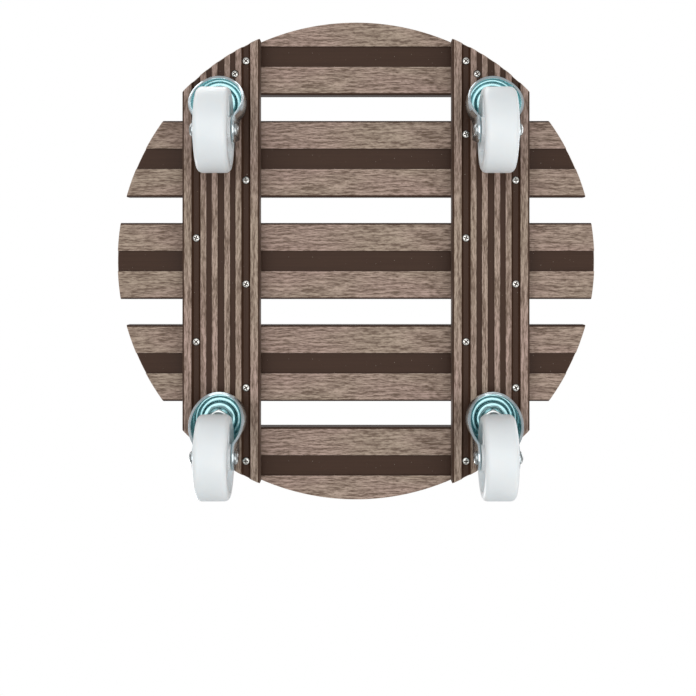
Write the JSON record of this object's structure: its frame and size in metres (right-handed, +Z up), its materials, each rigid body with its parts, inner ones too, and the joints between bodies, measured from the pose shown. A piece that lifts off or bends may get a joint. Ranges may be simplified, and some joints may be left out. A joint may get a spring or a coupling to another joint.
{
  "type": "plant caddy",
  "caption": "Round slatted plant caddy: hollow grooved boards cut to a circle on cross beams, carried by swivel casters with double ball races and moulded wheels.",
  "frame": {"origin": "on the floor, under the centre of the round deck", "axes": "+Z up, the slats run along Y, the beams along X, and at rest every wheel trails its pivot towards -X"},
  "size_m": [0.35, 0.35, 0.102],
  "materials": {
    "wpc_board": "wood-plastic composite: grained grey-brown faces and lands, smooth dark brown grooves and edges",
    "zinc_steel": "pressed sheet steel, bright zinc with a blue cast",
    "bolt_steel": "zinc-plated steel",
    "rivet_steel": "plain zinc-plated steel",
    "screw_steel": "bright screw heads with dark cross recesses",
    "ball_steel": "polished bearing balls",
    "wheel_nylon": "milky, faintly blue-green translucent moulded plastic"
  },
  "bodies": {
    "deck": {"slat_1": "wpc_board", "slat_2": "wpc_board", "slat_3": "wpc_board", "slat_4": "wpc_board", "slat_5": "wpc_board", "front_beam": "wpc_board", "back_beam": "wpc_board", "front_deck_screws": "screw_steel", "back_deck_screws": "screw_steel", "front_left_mounting_cup": "zinc_steel", "front_left_upper_balls": "ball_steel", "front_left_lower_balls": "ball_steel", "front_left_lower_cup": "zinc_steel", "front_left_pivot_tube": "zinc_steel", "front_left_bolt": "bolt_steel", "front_left_washer": "zinc_steel", "front_left_nut": "bolt_steel", "front_right_mounting_cup": "zinc_steel", "front_right_upper_balls": "ball_steel", "front_right_lower_balls": "ball_steel", "front_right_lower_cup": "zinc_steel", "front_right_pivot_tube": "zinc_steel", "front_right_bolt": "bolt_steel", "front_right_washer": "zinc_steel", "front_right_nut": "bolt_steel", "back_left_mounting_cup": "zinc_steel", "back_left_upper_balls": "ball_steel", "back_left_lower_balls": "ball_steel", "back_left_lower_cup": "zinc_steel", "back_left_pivot_tube": "zinc_steel", "back_left_bolt": "bolt_steel", "back_left_washer": "zinc_steel", "back_left_nut": "bolt_steel", "back_right_mounting_cup": "zinc_steel", "back_right_upper_balls": "ball_steel", "back_right_lower_balls": "ball_steel", "back_right_lower_cup": "zinc_steel", "back_right_pivot_tube": "zinc_steel", "back_right_bolt": "bolt_steel", "back_right_washer": "zinc_steel", "back_right_nut": "bolt_steel"},
    "front_left_swivelling_fork": {"front_left_fork": "zinc_steel", "front_left_axle": "rivet_steel", "front_left_sleeve": "rivet_steel"},
    "front_left_rolling_wheel": {"front_left_wheel": "wheel_nylon"},
    "front_right_swivelling_fork": {"front_right_fork": "zinc_steel", "front_right_axle": "rivet_steel", "front_right_sleeve": "rivet_steel"},
    "front_right_rolling_wheel": {"front_right_wheel": "wheel_nylon"},
    "back_left_swivelling_fork": {"back_left_fork": "zinc_steel", "back_left_axle": "rivet_steel", "back_left_sleeve": "rivet_steel"},
    "back_left_rolling_wheel": {"back_left_wheel": "wheel_nylon"},
    "back_right_swivelling_fork": {"back_right_fork": "zinc_steel", "back_right_axle": "rivet_steel", "back_right_sleeve": "rivet_steel"},
    "back_right_rolling_wheel": {"back_right_wheel": "wheel_nylon"}
  },
  "joints": [
    {"name": "front_left_swivel", "type": "hinge", "parent": "deck", "child": "front_left_swivelling_fork", "pos_m": [-0.1125, -0.0975, 0.0665], "axis": [0, 0, 1], "continuous": true},
    {"name": "front_left_roll", "type": "hinge", "parent": "front_left_swivelling_fork", "child": "front_left_rolling_wheel", "pos_m": [-0.135, -0.0975, 0.0295], "axis": [0, 1, 0], "continuous": true},
    {"name": "front_right_swivel", "type": "hinge", "parent": "deck", "child": "front_right_swivelling_fork", "pos_m": [0.1125, -0.0975, 0.0665], "axis": [0, 0, 1], "continuous": true},
    {"name": "front_right_roll", "type": "hinge", "parent": "front_right_swivelling_fork", "child": "front_right_rolling_wheel", "pos_m": [0.09, -0.0975, 0.0295], "axis": [0, 1, 0], "continuous": true},
    {"name": "back_left_swivel", "type": "hinge", "parent": "deck", "child": "back_left_swivelling_fork", "pos_m": [-0.1125, 0.0975, 0.0665], "axis": [0, 0, 1], "continuous": true},
    {"name": "back_left_roll", "type": "hinge", "parent": "back_left_swivelling_fork", "child": "back_left_rolling_wheel", "pos_m": [-0.135, 0.0975, 0.0295], "axis": [0, 1, 0], "continuous": true},
    {"name": "back_right_swivel", "type": "hinge", "parent": "deck", "child": "back_right_swivelling_fork", "pos_m": [0.1125, 0.0975, 0.0665], "axis": [0, 0, 1], "continuous": true},
    {"name": "back_right_roll", "type": "hinge", "parent": "back_right_swivelling_fork", "child": "back_right_rolling_wheel", "pos_m": [0.09, 0.0975, 0.0295], "axis": [0, 1, 0], "continuous": true}
  ]
}
